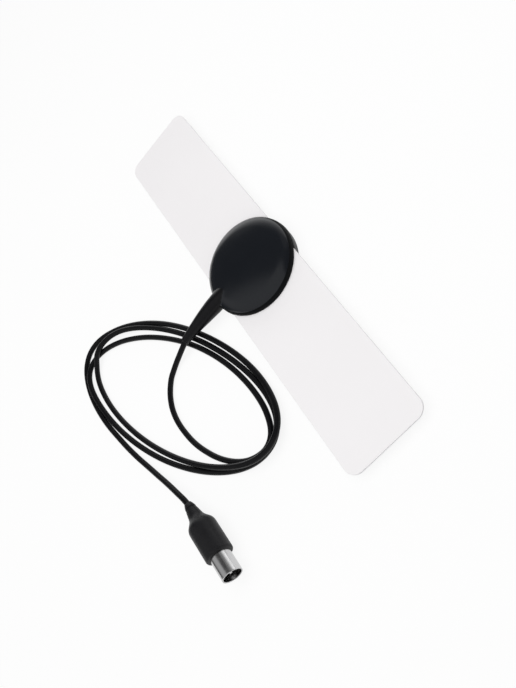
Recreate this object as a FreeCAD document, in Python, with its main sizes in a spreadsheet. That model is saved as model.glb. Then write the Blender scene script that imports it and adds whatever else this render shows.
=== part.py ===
import FreeCAD, Part
import Sketcher
import math
import os

# Flat indoor TV antenna, in millimetres. The panel lies level on a round hub that stands on the floor.
# Origin: on the floor under the hub's centre. +X runs along the panel, +Y across it, +Z up.
# The lead leaves the hub towards -Y, lies in loose oval turns and ends in a push-on coaxial plug.

SIZES = {
    # Panel: two plastic films with the foil arms between them
    "panel_length": 213.0,
    "panel_width": 40.0,
    "panel_corner": 5.5,
    "panel_lift": 4.2,
    "sheet_thickness": 0.4,
    "foil_thickness": 0.1,
    "foil_margin": 3.0,
    "foil_gap": 9.0,
    # Hub: a cup below the panel and a crowned cover above it
    "hub_radius": 23.0,
    "cover_wall": 1.4,
    "base_floor": 1.3,
    "base_draft": 0.8,
    "base_draft_height": 4.0,
    "rim_height": 0.4,
    "shoulder_radius": 3.5,
    "crown_height": 1.65,
    # Screws from below that clamp the panel between the covers
    "screw_offset": 15.5,
    "screw_radius": 1.1,
    "screw_grip": 2.2,
    "screw_head_radius": 2.0,
    "screw_head_height": 1.2,
    "screw_recess": 1.5,
    "screw_boss_radius": 3.1,
    # Matching board with its ferrite core and winding
    "board_length": 20.0,
    "board_width": 18.0,
    "board_thickness": 0.8,
    "core_length": 6.4,
    "core_width": 3.4,
    "core_height": 2.2,
    "core_place": 4.0,
    "core_hole_offset": 1.6,
    "winding_radius": 0.5,
    "eyelet_offset": 7.5,
    "eyelet_radius": 0.9,
    "eyelet_wall": 0.3,
    "eyelet_flange_radius": 1.6,
    "eyelet_flange_thickness": 0.25,
    # Coaxial lead and its stripped end inside the hub
    "cable_radius": 1.25,
    "braid_radius": 0.98,
    "dielectric_radius": 0.75,
    "conductor_radius": 0.25,
    "jacket_bare": 2.9,
    "braid_before_board": 0.6,
    "dielectric_on_board": 3.0,
    "conductor_bare": 2.5,
    "solder_radius": 1.0,
    # Strain relief, held by its flange behind the hub's wall
    "boot_length": 24.0,
    "boot_root_radius": 4.25,
    "boot_waist_radius": 3.8,
    "boot_waist_place": 9.0,
    "boot_tip_radius": 2.0,
    "boot_neck_radius": 2.5,
    "boot_flange_radius": 3.3,
    "boot_flange_thickness": 1.0,
    "hood_wall": 1.0,
    "hood_reach": 5.0,
    # Coil of loose turns: an oval ring, one layer deep along its sides and two at its ends
    "coil_centre_x": 12.5,
    "coil_centre_y": -69.5,
    "coil_tilt": 28.0,
    "coil_half_length": 63.0,
    "coil_half_width": 28.0,
    "coil_left_reach": 5.0,
    "coil_right_reach": 2.6,
    "coil_left_inset": 6.4,
    "coil_right_inset": 3.6,
    "coil_side_reach": 4.2,
    "coil_side_inset": 4.6,
    "coil_low_span": 98.0,
    # Plug, lying on the floor
    "plug_neck_x": 63.3,
    "plug_neck_y": -87.05,
    "plug_turn": 3.8,
    "plug_radius": 6.5,
    "plug_edge": 0.6,
    "plug_collar_length": 3.2,
    "plug_collar_radius": 2.65,
    "plug_groove_length": 0.8,
    "plug_groove_depth": 0.4,
    "plug_neck_length": 8.6,
    "plug_neck_radius": 4.0,
    "plug_shoulder_length": 4.0,
    "plug_grip_length": 15.8,
    "plug_crimp_length": 5.0,
    "plug_crimp_wall": 0.6,
    "shell_radius": 4.75,
    "shell_root_radius": 4.4,
    "shell_wall": 0.6,
    "shell_depth": 11.0,
    "shell_exposed": 10.0,
    "insulator_length": 6.0,
    "pin_radius": 1.2,
    "pin_recess": 1.5,
    # Clearance between pieces that fit in one another
    "slip": 0.05,
}

# Heights and places that several pieces share, as expressions of the sizes
PANEL_TOP = "(size.panel_lift + 2 * size.sheet_thickness)"
BOARD_TOP = f"({PANEL_TOP} + size.board_thickness)"
CABLE_AXIS = f"({BOARD_TOP} + size.dielectric_radius + size.slip)"
HUB_INSIDE = "(size.hub_radius - size.cover_wall)"
CABLE_BORE = "(size.cable_radius + size.slip)"
HOOD_INSIDE = "(size.boot_flange_radius + 2 * size.slip)"
PLUG_SHOULDER = "(size.plug_neck_length + size.plug_shoulder_length)"
PLUG_FACE = f"({PLUG_SHOULDER} + size.plug_grip_length)"
SHELL_BACK = f"({PLUG_FACE} - size.shell_depth)"
PIN_BACK = f"({SHELL_BACK} - size.slip)"

# Turn of a piece's own upright axis towards -Y, the way the lead leaves the hub
TOWARDS_LEAD = FreeCAD.Rotation(FreeCAD.Vector(1, 0, 0), 90)

# Route of the lead, chosen from the photograph. Inside and along the coil each point is a share of the
# coil's half length and half width from its centre, with its height in lead radii.
LEAD_ROUTE = [
    (-0.069, 0.568, 2.3),
    (-0.071, 0.324, 1.0),
    (-0.029, -0.010, 1.0),
    (0.076, -0.285, 1.0),
    (0.224, -0.462, 1.0),
    (0.398, -0.561, 1.0),
    (0.569, -0.596, 1.0),
    (0.714, -0.591, 1.0),
    (0.845, -0.570, 1.0),
]
TAIL_ROUTE = [
    (-0.968, -0.177, 1.0),
    (-0.902, -0.583, 1.0),
    (-0.775, -0.881, 1.0),
    (-0.607, -1.049, 1.0),
    (-0.428, -1.163, 1.0),
    (-0.247, -1.234, 1.0),
    (-0.077, -1.279, 1.0),
    (0.086, -1.312, 1.0),
]
# The last points before the plug: millimetres back along its axis and across it, and the share of the climb
PLUG_ROUTE = [
    (20.1, -6.6, 0.3),
    (14.4, -4.3, 0.52),
    (8.75, -2.0, 0.8),
    (3.0, 0.0, 1.0),
]
# Straight run past the strain relief, and the share of a straight run that one arc may take
BOOT_STRAIGHT = 4.0
RUN_SHARE = 0.45

doc = FreeCAD.newDocument("tv_antenna")
sheet = doc.addObject("Spreadsheet::Sheet", "size")
for row, (alias, value) in enumerate(SIZES.items(), start=1):
    sheet.set(f"A{row}", alias)
    sheet.set(f"B{row}", str(value))
    sheet.setAlias(f"B{row}", alias)
doc.recompute()
plug_heading = FreeCAD.Rotation(sheet.plug_turn, 90, 0)


def place(piece, x="0", y="0", z="0", turn=None):
    """Put a piece's origin at three expressions, after turning it."""
    if turn:
        piece.Placement = FreeCAD.Placement(FreeCAD.Vector(), turn)
    for axis, expression in zip("xyz", (x, y, z)):
        piece.setExpression(f"Placement.Base.{axis}", expression)
    return piece


def cylinder(name, radius, height, x="0", y="0", z="0", turn=None):
    """Cylinder that stands on its placed origin."""
    piece = doc.addObject("Part::Cylinder", name)
    piece.setExpression("Radius", radius)
    piece.setExpression("Height", height)
    return place(piece, x, y, z, turn)


def sphere(name, radius, x="0", y="0", z="0"):
    piece = doc.addObject("Part::Sphere", name)
    piece.setExpression("Radius", radius)
    return place(piece, x, y, z)


def block(name, length, width, height, x="0", y="0", z="0"):
    """Block centred on its placed origin in X and Y, and standing on it."""
    piece = doc.addObject("Part::Box", name)
    piece.setExpression("Length", length)
    piece.setExpression("Width", width)
    piece.setExpression("Height", height)
    return place(piece, f"{x} - ({length}) / 2", f"{y} - ({width}) / 2", z)


def fuse(name, *pieces):
    joined = doc.addObject("Part::MultiFuse", name)
    joined.Shapes = pieces
    return joined


def cut(name, base, *tools):
    """A piece less one tool after another; the last cut carries the name."""
    for index, tool in enumerate(tools, start=1):
        remainder = doc.addObject("Part::Cut", name if index == len(tools) else f"{name}_cut_{index}")
        remainder.Base = base
        remainder.Tool = tool
        base = remainder
    return base


def tube(name, outer, inner, height, x="0", y="0", z="0", turn=None):
    """Round tube along its own axis."""
    wall = cylinder(f"{name}_outside", outer, height, x, y, z, turn)
    bore = cylinder(f"{name}_bore", inner, height, x, y, z, turn)
    return cut(name, wall, bore)


def sketch_on(body, name, role):
    """Empty sketch on one of a body's own origin planes."""
    sketch = body.newObject("Sketcher::SketchObject", name)
    plane = next(item for item in body.Origin.OriginFeatures if item.Role == role)
    sketch.AttachmentSupport = (plane, [""])
    sketch.MapMode = "FlatFace"
    return sketch


def revolve(body, name, sketch):
    """Turn a sketch once about its upright axis."""
    turned_shape = body.newObject("PartDesign::Revolution", name)
    turned_shape.Profile = sketch
    turned_shape.ReferenceAxis = (sketch, ["V_Axis"])
    turned_shape.Angle = 360
    doc.recompute()
    return turned_shape


def turned(name, corners, x="0", y="0", z="0", turn=None):
    """Turned piece from the corners of its half section, each a radius and a place along the axis."""
    body = doc.addObject("PartDesign::Body", name)
    sketch = sketch_on(body, f"{name}_section", "XZ_Plane")
    count = len(corners)
    start = [FreeCAD.Vector(2 + math.cos(2 * math.pi * i / count), 2 + math.sin(2 * math.pi * i / count), 0)
             for i in range(count)]
    for i in range(count):
        sketch.addGeometry(Part.LineSegment(start[i], start[(i + 1) % count]), False)
    for i in range(count):
        sketch.addConstraint(Sketcher.Constraint("Coincident", i, 2, (i + 1) % count, 1))
    for i, (radius, along) in enumerate(corners):
        for kind, expression, axis, value in (("DistanceX", radius, -2, start[i].x),
                                              ("DistanceY", along, -1, start[i].y)):
            if expression == "0":
                sketch.addConstraint(Sketcher.Constraint("PointOnObject", i, 1, axis))
            else:
                index = sketch.addConstraint(Sketcher.Constraint(kind, -1, 1, i, 1, value))
                sketch.setExpression(f"Constraints[{index}]", expression)
    doc.recompute()
    revolve(body, f"{name}_turned", sketch)
    return place(body, x, y, z, turn)


def plate(name, length, width, height, corner, x="0", y="0", z="0"):
    """Flat plate with rounded corners, centred on its placed origin and standing on it."""
    body = doc.addObject("PartDesign::Body", name)
    sketch = sketch_on(body, f"{name}_outline", "XY_Plane")
    start = [FreeCAD.Vector(*point) for point in ((-2, -1, 0), (2, -1, 0), (2, 1, 0), (-2, 1, 0))]
    for i in range(4):
        sketch.addGeometry(Part.LineSegment(start[i], start[(i + 1) % 4]), False)
    for i in range(4):
        sketch.addConstraint(Sketcher.Constraint("Coincident", i, 2, (i + 1) % 4, 1))
        sketch.addConstraint(Sketcher.Constraint("Vertical" if i % 2 else "Horizontal", i))
    sketch.addConstraint(Sketcher.Constraint("Symmetric", 0, 1, 2, 1, -1, 1))
    across = sketch.addConstraint(Sketcher.Constraint("DistanceX", 0, 1, 0, 2, 4))
    sketch.setExpression(f"Constraints[{across}]", length)
    along = sketch.addConstraint(Sketcher.Constraint("DistanceY", 1, 1, 1, 2, 2))
    sketch.setExpression(f"Constraints[{along}]", width)
    pad = body.newObject("PartDesign::Pad", f"{name}_pad")
    pad.Profile = sketch
    pad.setExpression("Length", height)
    doc.recompute()
    upright = [f"Edge{i}" for i, edge in enumerate(pad.Shape.Edges, start=1)
               if abs(edge.tangentAt(edge.FirstParameter).z) > 0.99]
    rounding = body.newObject("PartDesign::Fillet", f"{name}_corners")
    rounding.Base = (pad, upright)
    rounding.setExpression("Radius", corner)
    body.Tip = rounding
    doc.recompute()
    return place(body, x, y, z)


def dome(name, inset_size=None):
    """Crowned round solid on the panel's top: rim, shoulder and crown, moved in by one named size."""
    body = doc.addObject("PartDesign::Body", name)
    sketch = sketch_on(body, f"{name}_section", "XZ_Plane")
    inset = getattr(sheet, inset_size) if inset_size else 0
    inset_term = f" - size.{inset_size}" if inset_size else ""
    radius = sheet.hub_radius - inset
    shoulder = sheet.shoulder_radius - inset
    rim = sheet.rim_height
    apex = rim + shoulder + sheet.crown_height
    shoulder_centre = FreeCAD.Vector(radius - shoulder, rim, 0)
    crown_radius = shoulder + (shoulder_centre.x ** 2 + sheet.crown_height ** 2) / (2 * sheet.crown_height)
    crown_centre = FreeCAD.Vector(0, apex - crown_radius, 0)
    lean = math.atan2(rim - crown_centre.y, shoulder_centre.x)
    upward = FreeCAD.Vector(0, 0, 1)
    for curve in (
            Part.LineSegment(FreeCAD.Vector(0, 0, 0), FreeCAD.Vector(radius, 0, 0)),
            Part.LineSegment(FreeCAD.Vector(radius, 0, 0), FreeCAD.Vector(radius, rim, 0)),
            Part.ArcOfCircle(Part.Circle(shoulder_centre, upward, shoulder), 0, lean),
            Part.ArcOfCircle(Part.Circle(crown_centre, upward, crown_radius), lean, math.pi / 2),
            Part.LineSegment(FreeCAD.Vector(0, apex, 0), FreeCAD.Vector(0, 0, 0))):
        sketch.addGeometry(curve, False)
    for constraint in (
            ("Coincident", 0, 1, -1, 1), ("Coincident", 0, 2, 1, 1), ("Coincident", 3, 2, 4, 1),
            ("Coincident", 4, 2, 0, 1), ("Horizontal", 0), ("Vertical", 1), ("Tangent", 1, 2, 2, 1),
            ("Tangent", 2, 2, 3, 1), ("PointOnObject", 3, 3, -2), ("PointOnObject", 3, 2, -2)):
        sketch.addConstraint(Sketcher.Constraint(*constraint))
    for arguments, expression in (
            (("DistanceX", -1, 1, 0, 2, radius), f"size.hub_radius{inset_term}"),
            (("DistanceY", -1, 1, 1, 2, rim), "size.rim_height"),
            (("Radius", 2, shoulder), f"size.shoulder_radius{inset_term}"),
            (("DistanceY", -1, 1, 3, 2, apex),
             f"size.rim_height + size.shoulder_radius + size.crown_height{inset_term}")):
        index = sketch.addConstraint(Sketcher.Constraint(*arguments))
        sketch.setExpression(f"Constraints[{index}]", expression)
    doc.recompute()
    revolve(body, f"{name}_turned", sketch)
    return place(body, z=PANEL_TOP)


def both_sides(make, name, offset, *sizes, **places):
    """The same piece at plus and minus an offset along the panel."""
    return [make(f"{name}_{side}", *sizes, x=f"{sign} * {offset}", **places)
            for side, sign in (("left", -1), ("right", 1))]


# Tools that cut the same holes through all the layers of the hub
hub_top = f"({PANEL_TOP} + size.rim_height + size.shoulder_radius + size.crown_height)"
screw_holes = fuse("screw_holes", *both_sides(
    cylinder, "screw_hole", "size.screw_offset", "size.screw_radius + size.slip",
    f"{PANEL_TOP} + size.screw_grip + size.slip"))
eyelet_holes = fuse("eyelet_holes", *both_sides(
    cylinder, "eyelet_hole", "size.eyelet_offset", "size.eyelet_radius + size.slip", hub_top))
flange_room = cylinder(
    "flange_room", HOOD_INSIDE, "size.hood_reach - size.cover_wall",
    y="-(size.hub_radius - size.hood_reach)", z=CABLE_AXIS, turn=TOWARDS_LEAD)
neck_hole = cylinder(
    "neck_hole", "size.boot_neck_radius + size.slip", "2 * size.hood_reach",
    y="-(size.hub_radius - size.hood_reach)", z=CABLE_AXIS, turn=TOWARDS_LEAD)
flange_notch = cylinder(
    "flange_notch", HOOD_INSIDE, "size.hood_reach",
    y=f"-({HUB_INSIDE} - size.boot_flange_thickness - 4 * size.slip)", z=CABLE_AXIS, turn=TOWARDS_LEAD)

# Foil arms, each in a shallow pocket of the back film, with a window round the screw
ARM_LENGTH = "(size.panel_length / 2 - size.foil_margin - size.foil_gap / 2)"
ARM_WIDTH = "(size.panel_width - 2 * size.foil_margin)"
ARM_PLACE = f"(size.foil_gap / 2 + {ARM_LENGTH} / 2)"
FOIL_UNDER = "(size.panel_lift + size.sheet_thickness - size.foil_thickness)"
arms = both_sides(plate, "arm_blank", ARM_PLACE, ARM_LENGTH, ARM_WIDTH, "size.foil_thickness",
                  "size.panel_corner - size.foil_margin / 2", z=FOIL_UNDER)
pockets = both_sides(plate, "foil_pocket", ARM_PLACE, f"{ARM_LENGTH} + 2 * size.slip",
                     f"{ARM_WIDTH} + 2 * size.slip", "size.sheet_thickness",
                     "size.panel_corner - size.foil_margin / 2", z=FOIL_UNDER)
screw_windows = fuse("screw_windows", *both_sides(
    cylinder, "screw_window", "size.screw_offset", "size.screw_boss_radius", hub_top))
dipole_arm_left = cut("dipole_arm_left", arms[0], screw_windows, eyelet_holes)
dipole_arm_right = cut("dipole_arm_right", arms[1], screw_windows, eyelet_holes)

# Panel: front and back films, clamped in the hub and drilled for the screws and eyelets
panel_size = ("size.panel_length", "size.panel_width", "size.sheet_thickness", "size.panel_corner")
front_blank = plate("front_blank", *panel_size, z="size.panel_lift + size.sheet_thickness")
back_blank = plate("back_blank", *panel_size, z="size.panel_lift")
# The pockets leave the film whole round each screw, where the foil has its window
foil_pockets = cut("foil_pockets", fuse("whole_pockets", *pockets), screw_windows)
panel_holes = (screw_holes, eyelet_holes, flange_notch)
panel_front_sheet = cut("panel_front_sheet", front_blank, *panel_holes)
panel_back_sheet = cut("panel_back_sheet", back_blank, foil_pockets, *panel_holes)

# Back cover: a cup with two screw posts, slots for the panel and a seat for the strain relief
cup = turned("cup", [("0", "0"), ("size.hub_radius - size.base_draft", "0"),
                     ("size.hub_radius", "size.base_draft_height"), ("size.hub_radius", PANEL_TOP),
                     ("0", PANEL_TOP)])
cup_room = cylinder("cup_room", HUB_INSIDE, PANEL_TOP, z="size.base_floor")
posts = fuse("posts", *both_sides(cylinder, "post", "size.screw_offset", "size.screw_boss_radius",
                                  "size.panel_lift"))
head_holes = fuse("head_holes", *both_sides(cylinder, "head_hole", "size.screw_offset",
                                            "size.screw_head_radius + 2 * size.slip", "size.screw_recess"))
panel_slot = block("panel_slot", "2.2 * size.hub_radius", "size.panel_width + 2 * size.slip", PANEL_TOP,
                   z="size.panel_lift")
cup_hollow = cut("cup_hollow", cup_room, posts)
back_cover = cut("back_cover", cup, cup_hollow, panel_slot, screw_holes, head_holes, flange_room, neck_hole)

# Front cover: a crowned shell with two screw posts and a rounded hood over the strain relief
hood_radius = f"({HOOD_INSIDE} + size.hood_wall)"
hood = cylinder("hood", hood_radius, "size.hood_reach", y="-(size.hub_radius - size.hood_reach)",
                z=CABLE_AXIS, turn=TOWARDS_LEAD)
hood_end = sphere("hood_end", hood_radius, y="-(size.hub_radius - size.hood_reach)", z=CABLE_AXIS)
hood_end_room = sphere("hood_end_room", HOOD_INSIDE, y="-(size.hub_radius - size.hood_reach)", z=CABLE_AXIS)
below_panel_top = block("below_panel_top", "3 * size.hub_radius", "3 * size.hub_radius", PANEL_TOP)
cover_outside = cut("cover_outside", fuse("cover_form", dome("cover_dome"), hood, hood_end), below_panel_top)
cover_room = fuse("cover_room", dome("cover_inside", "cover_wall"), hood_end_room, flange_room)
cover_posts = fuse("cover_posts", *both_sides(cylinder, "cover_post", "size.screw_offset",
                                              "size.screw_boss_radius", hub_top))
cover_hollow = cut("cover_hollow", cover_room, cover_posts)
front_cover = cut("front_cover", cover_outside, cover_hollow, screw_holes, neck_hole)

# Cover screws: two self-tapping screws, heads sunk in the back cover
SCREW_LENGTH = f"({PANEL_TOP} + size.screw_grip - size.screw_recess)"
screws = both_sides(turned, "screw", "size.screw_offset", [
    ("0", "0"), ("size.screw_head_radius", "0"), ("size.screw_head_radius", "size.screw_head_height"),
    ("size.screw_radius", "size.screw_head_height"),
    ("size.screw_radius", f"{SCREW_LENGTH} + size.screw_head_height - size.screw_radius"),
    ("size.screw_radius / 4", f"{SCREW_LENGTH} + size.screw_head_height"),
    ("0", f"{SCREW_LENGTH} + size.screw_head_height")],
    z="size.screw_recess - size.screw_head_height")
cover_screws = doc.addObject("Part::Compound", "cover_screws")
cover_screws.Links = screws

# Matching board on the panel, with its ferrite core, winding and the eyelets down to the foil
board_blank = plate("board_blank", "size.board_length", "size.board_width", "size.board_thickness",
                    "size.board_thickness", z=PANEL_TOP)
balun_board = cut("balun_board", board_blank, eyelet_holes)
core_blank = block("core_blank", "size.core_length", "size.core_width", "size.core_height",
                   y="size.core_place", z=BOARD_TOP)
WIRE_HEIGHT = f"({BOARD_TOP} + size.core_height / 2)"
CORE_FRONT = "(size.core_place + size.core_width / 2)"
core_holes = fuse("core_holes", *both_sides(
    cylinder, "core_hole", "size.core_hole_offset", "size.winding_radius + size.slip", "size.core_width",
    y=CORE_FRONT, z=WIRE_HEIGHT, turn=TOWARDS_LEAD))
balun_core = cut("balun_core", core_blank, core_holes)
wires = both_sides(cylinder, "wire", "size.core_hole_offset", "size.winding_radius", "size.core_width",
                   y=CORE_FRONT, z=WIRE_HEIGHT, turn=TOWARDS_LEAD)
bends = []
for end, sign, angle in (("front", 1, 0), ("back", -1, 180)):
    bend = doc.addObject("Part::Torus", f"wire_bend_{end}")
    bend.setExpression("Radius1", "size.core_hole_offset")
    bend.setExpression("Radius2", "size.winding_radius")
    bend.Angle3 = 180
    bends.append(place(bend, y=f"size.core_place + {sign} * size.core_width / 2", z=WIRE_HEIGHT,
                       turn=FreeCAD.Rotation(FreeCAD.Vector(0, 0, 1), angle)))
balun_winding = fuse("balun_winding", *wires, *bends)
EYELET_TOP = "(size.eyelet_flange_thickness + 2 * size.sheet_thickness + size.board_thickness)"
feed_eyelet_left, feed_eyelet_right = both_sides(turned, "feed_eyelet", "size.eyelet_offset", [
    ("size.eyelet_radius - size.eyelet_wall", "0"), ("size.eyelet_flange_radius", "0"),
    ("size.eyelet_flange_radius", "size.eyelet_flange_thickness"),
    ("size.eyelet_radius", "size.eyelet_flange_thickness"), ("size.eyelet_radius", EYELET_TOP),
    ("size.eyelet_flange_radius", EYELET_TOP),
    ("size.eyelet_flange_radius", f"{EYELET_TOP} + size.eyelet_flange_thickness"),
    ("size.eyelet_radius - size.eyelet_wall", f"{EYELET_TOP} + size.eyelet_flange_thickness")],
    z="size.panel_lift - size.eyelet_flange_thickness")

# Strain relief: a flange behind the hub's wall, a neck through it and a long taper outside
BOOT_ROOT = "(size.boot_flange_thickness + 2 * size.slip + size.cover_wall)"
strain_relief = turned("strain_relief", [
    (CABLE_BORE, "0"), ("size.boot_flange_radius", "0"),
    ("size.boot_flange_radius", "size.boot_flange_thickness"),
    ("size.boot_neck_radius", "size.boot_flange_thickness"), ("size.boot_neck_radius", BOOT_ROOT),
    ("size.boot_root_radius", BOOT_ROOT),
    ("size.boot_waist_radius", f"{BOOT_ROOT} + size.boot_waist_place"),
    ("size.boot_tip_radius", f"{BOOT_ROOT} + size.boot_length"),
    (CABLE_BORE, f"{BOOT_ROOT} + size.boot_length")],
    y=f"-({HUB_INSIDE} - size.boot_flange_thickness - size.slip)", z=CABLE_AXIS, turn=TOWARDS_LEAD)

# Stripped end of the lead: jacket, braid, insulation and centre conductor, one inside the other
BRAID_STOP = "(size.board_width / 2 + size.braid_before_board)"
DIELECTRIC_STOP = "(size.board_width / 2 - size.dielectric_on_board)"
CONDUCTOR_STOP = f"({DIELECTRIC_STOP} - size.conductor_bare)"


def stripped(name, outer, inner, stop):
    """One layer of the lead from the hub's rim to its own stop; a plain wire if it has no inner radius."""
    sizes = (f"size.hub_radius - {stop}", "0", f"-{stop}", CABLE_AXIS, TOWARDS_LEAD)
    return tube(name, outer, inner, *sizes) if inner else cylinder(name, outer, *sizes)


cable_jacket_end = stripped("cable_jacket_end", "size.cable_radius", "size.braid_radius",
                            f"({BRAID_STOP} + size.jacket_bare)")
cable_braid_end = stripped("cable_braid_end", "size.braid_radius", "size.dielectric_radius", BRAID_STOP)
cable_dielectric_end = stripped("cable_dielectric_end", "size.dielectric_radius", "size.conductor_radius",
                                DIELECTRIC_STOP)
cable_conductor_end = stripped("cable_conductor_end", "size.conductor_radius", None, CONDUCTOR_STOP)
centre_solder = turned("centre_solder", [
    ("0", "0"), ("size.solder_radius", "0"),
    ("size.conductor_radius", "size.dielectric_radius + size.slip - size.conductor_radius"),
    ("0", "size.dielectric_radius + size.slip - size.conductor_radius")],
    y=f"-({DIELECTRIC_STOP} + {CONDUCTOR_STOP}) / 2", z=BOARD_TOP)

# Coil: an oval ring of the loose turns, wider at its left end, low along its sides
OVAL_TURN = FreeCAD.Rotation(FreeCAD.Vector(0, 0, 1), sheet.coil_tilt)


def oval(name, left, right, side, height):
    """Upright oval solid that stands the given distances outside the turns' mean line."""
    ellipse = doc.addObject("Part::Ellipse", f"{name}_line")
    ellipse.setExpression("MajorRadius", f"size.coil_half_length + ({left} + {right}) / 2")
    ellipse.setExpression("MinorRadius", f"size.coil_half_width + {side}")
    shift = f"({right} - ({left})) / 2"
    place(ellipse, f"size.coil_centre_x + {shift} * cos(size.coil_tilt * 1 deg)",
          f"size.coil_centre_y + {shift} * sin(size.coil_tilt * 1 deg)", turn=OVAL_TURN)
    solid = doc.addObject("Part::Extrusion", name)
    solid.Base = ellipse
    solid.DirMode = "Normal"
    solid.Solid = True
    solid.setExpression("LengthFwd", height)
    return solid


COIL_HEIGHT = "4 * size.cable_radius"
coil_outside = oval("coil_outside", "size.coil_left_reach", "size.coil_right_reach", "size.coil_side_reach",
                    COIL_HEIGHT)
coil_inside = oval("coil_inside", "-size.coil_left_inset", "-size.coil_right_inset", "-size.coil_side_inset",
                   COIL_HEIGHT)
coil_top = doc.addObject("Part::Box", "coil_top")
coil_top.setExpression("Length", "size.coil_low_span")
coil_top.setExpression("Width", "3 * size.coil_half_width")
coil_top.setExpression("Height", COIL_HEIGHT)
HALF_SPAN = "size.coil_low_span / 2"
HALF_ACROSS = "1.5 * size.coil_half_width"
place(coil_top,
      f"size.coil_centre_x - {HALF_SPAN} * cos(size.coil_tilt * 1 deg)"
      f" + {HALF_ACROSS} * sin(size.coil_tilt * 1 deg)",
      f"size.coil_centre_y - {HALF_SPAN} * sin(size.coil_tilt * 1 deg)"
      f" - {HALF_ACROSS} * cos(size.coil_tilt * 1 deg)",
      "2 * size.cable_radius + 4 * size.slip", OVAL_TURN)
cord_coil = cut("cord_coil", coil_outside, coil_inside, coil_top)


# The lead's free stretches: straight runs joined by arcs as large as the runs allow
def rounded_path(name, points):
    """Wire through points with a tangent arc at each corner; prints the arcs' radii."""
    runs = [end - start for start, end in zip(points, points[1:])]
    edges, radii, last = [], [], points[0]
    for corner, before, after in zip(points[1:], runs, runs[1:]):
        half_turn = before.getAngle(after) / 2
        tangent = RUN_SHARE * min(before.Length, after.Length)
        radius = tangent / math.tan(half_turn)
        into, out = FreeCAD.Vector(before).normalize(), FreeCAD.Vector(after).normalize()
        inward = (out - into).normalize()
        middle = corner + inward * (radius / math.cos(half_turn) - radius)
        edges.append(Part.LineSegment(last, corner - into * tangent).toShape())
        edges.append(Part.Arc(corner - into * tangent, middle, corner + out * tangent).toShape())
        last = corner + out * tangent
        radii.append(round(radius, 1))
    edges.append(Part.LineSegment(last, points[-1]).toShape())
    print(name, "arc radii", radii)
    path = doc.addObject("Part::Feature", f"{name}_path")
    path.Shape = Part.Wire(edges)
    return path


def lead_stretch(name, points):
    """Round tube along a path, ended where it meets the coil."""
    path = rounded_path(name, points)
    section = doc.addObject("Part::Circle", f"{name}_section")
    section.setExpression("Radius", "size.cable_radius")
    first_run = points[1] - points[0]
    section.Placement = FreeCAD.Placement(points[0], FreeCAD.Rotation(FreeCAD.Vector(0, 0, 1), first_run))
    sweep = doc.addObject("Part::Sweep", f"{name}_tube")
    sweep.Sections = [section]
    sweep.Spine = (path, [f"Edge{i}" for i in range(1, len(path.Shape.Edges) + 1)])
    sweep.Solid = True
    sweep.Frenet = False
    doc.recompute()
    expected = math.pi * sheet.cable_radius ** 2 * path.Shape.Length
    print(name, "length", round(path.Shape.Length, 1), "volume over section times length",
          round(sweep.Shape.Volume / expected, 4))
    return cut(name, sweep, cord_coil)


def along_coil(route):
    """Route points given as shares of the coil, turned with it and put at its centre."""
    centre = FreeCAD.Vector(sheet.coil_centre_x, sheet.coil_centre_y, 0)
    return [centre + OVAL_TURN.multVec(FreeCAD.Vector(
        along * sheet.coil_half_length, across * sheet.coil_half_width, height * sheet.cable_radius))
        for along, across, height in route]


panel_top = sheet.panel_lift + 2 * sheet.sheet_thickness
cable_axis = panel_top + sheet.board_thickness + sheet.dielectric_radius + sheet.slip
boot_end = sheet.hub_radius + sheet.slip + sheet.boot_length
cord_lead_in = lead_stretch("cord_lead_in", [
    FreeCAD.Vector(0, -sheet.hub_radius, cable_axis),
    FreeCAD.Vector(0, -boot_end - BOOT_STRAIGHT, cable_axis), *along_coil(LEAD_ROUTE)])

plug_neck = FreeCAD.Vector(sheet.plug_neck_x, sheet.plug_neck_y, sheet.plug_radius)
plug_axis = plug_heading.multVec(FreeCAD.Vector(0, 0, 1))
plug_across = FreeCAD.Vector(0, 0, 1).cross(plug_axis)
climb = FreeCAD.Vector(0, 0, sheet.plug_radius - sheet.cable_radius)
to_plug = [plug_neck - plug_axis * back + plug_across * across - climb * (1 - share)
           for back, across, share in PLUG_ROUTE]
plug_face = sheet.plug_neck_length + sheet.plug_shoulder_length + sheet.plug_grip_length
cable_end = plug_neck + plug_axis * (plug_face - sheet.shell_depth - sheet.slip)
cord_tail = lead_stretch("cord_tail", along_coil(TAIL_ROUTE) + to_plug + [cable_end])

# Plug: a moulded grip over the shell's root, with the crimp ring, insulator and pin inside
PLUG_PLACE = {"x": "size.plug_neck_x", "y": "size.plug_neck_y", "z": "size.plug_radius",
              "turn": plug_heading}
CRIMP_RADIUS = f"({CABLE_BORE} + size.plug_crimp_wall)"
CRIMP_START = f"({SHELL_BACK} - size.plug_crimp_length)"
GROOVE_RADIUS = "(size.plug_collar_radius - size.plug_groove_depth)"
GROOVE_END = "(size.plug_collar_length + size.plug_groove_length)"
plug_body = turned("plug_body", [
    (CABLE_BORE, "0"), (GROOVE_RADIUS, "0"), ("size.plug_collar_radius", "size.plug_collar_length / 2"),
    ("size.plug_collar_radius", "size.plug_collar_length"), (GROOVE_RADIUS, "size.plug_collar_length"),
    (GROOVE_RADIUS, GROOVE_END), ("size.plug_collar_radius", GROOVE_END),
    ("size.plug_neck_radius", "size.plug_neck_length"), ("size.plug_radius", PLUG_SHOULDER),
    ("size.plug_radius", f"{PLUG_FACE} - size.plug_edge"), ("size.plug_radius - size.plug_edge", PLUG_FACE),
    ("size.shell_root_radius + size.slip", PLUG_FACE), ("size.shell_root_radius + size.slip", SHELL_BACK),
    (f"{CRIMP_RADIUS} + size.slip", SHELL_BACK), (f"{CRIMP_RADIUS} + size.slip", CRIMP_START),
    (CABLE_BORE, CRIMP_START)], **PLUG_PLACE)
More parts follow.
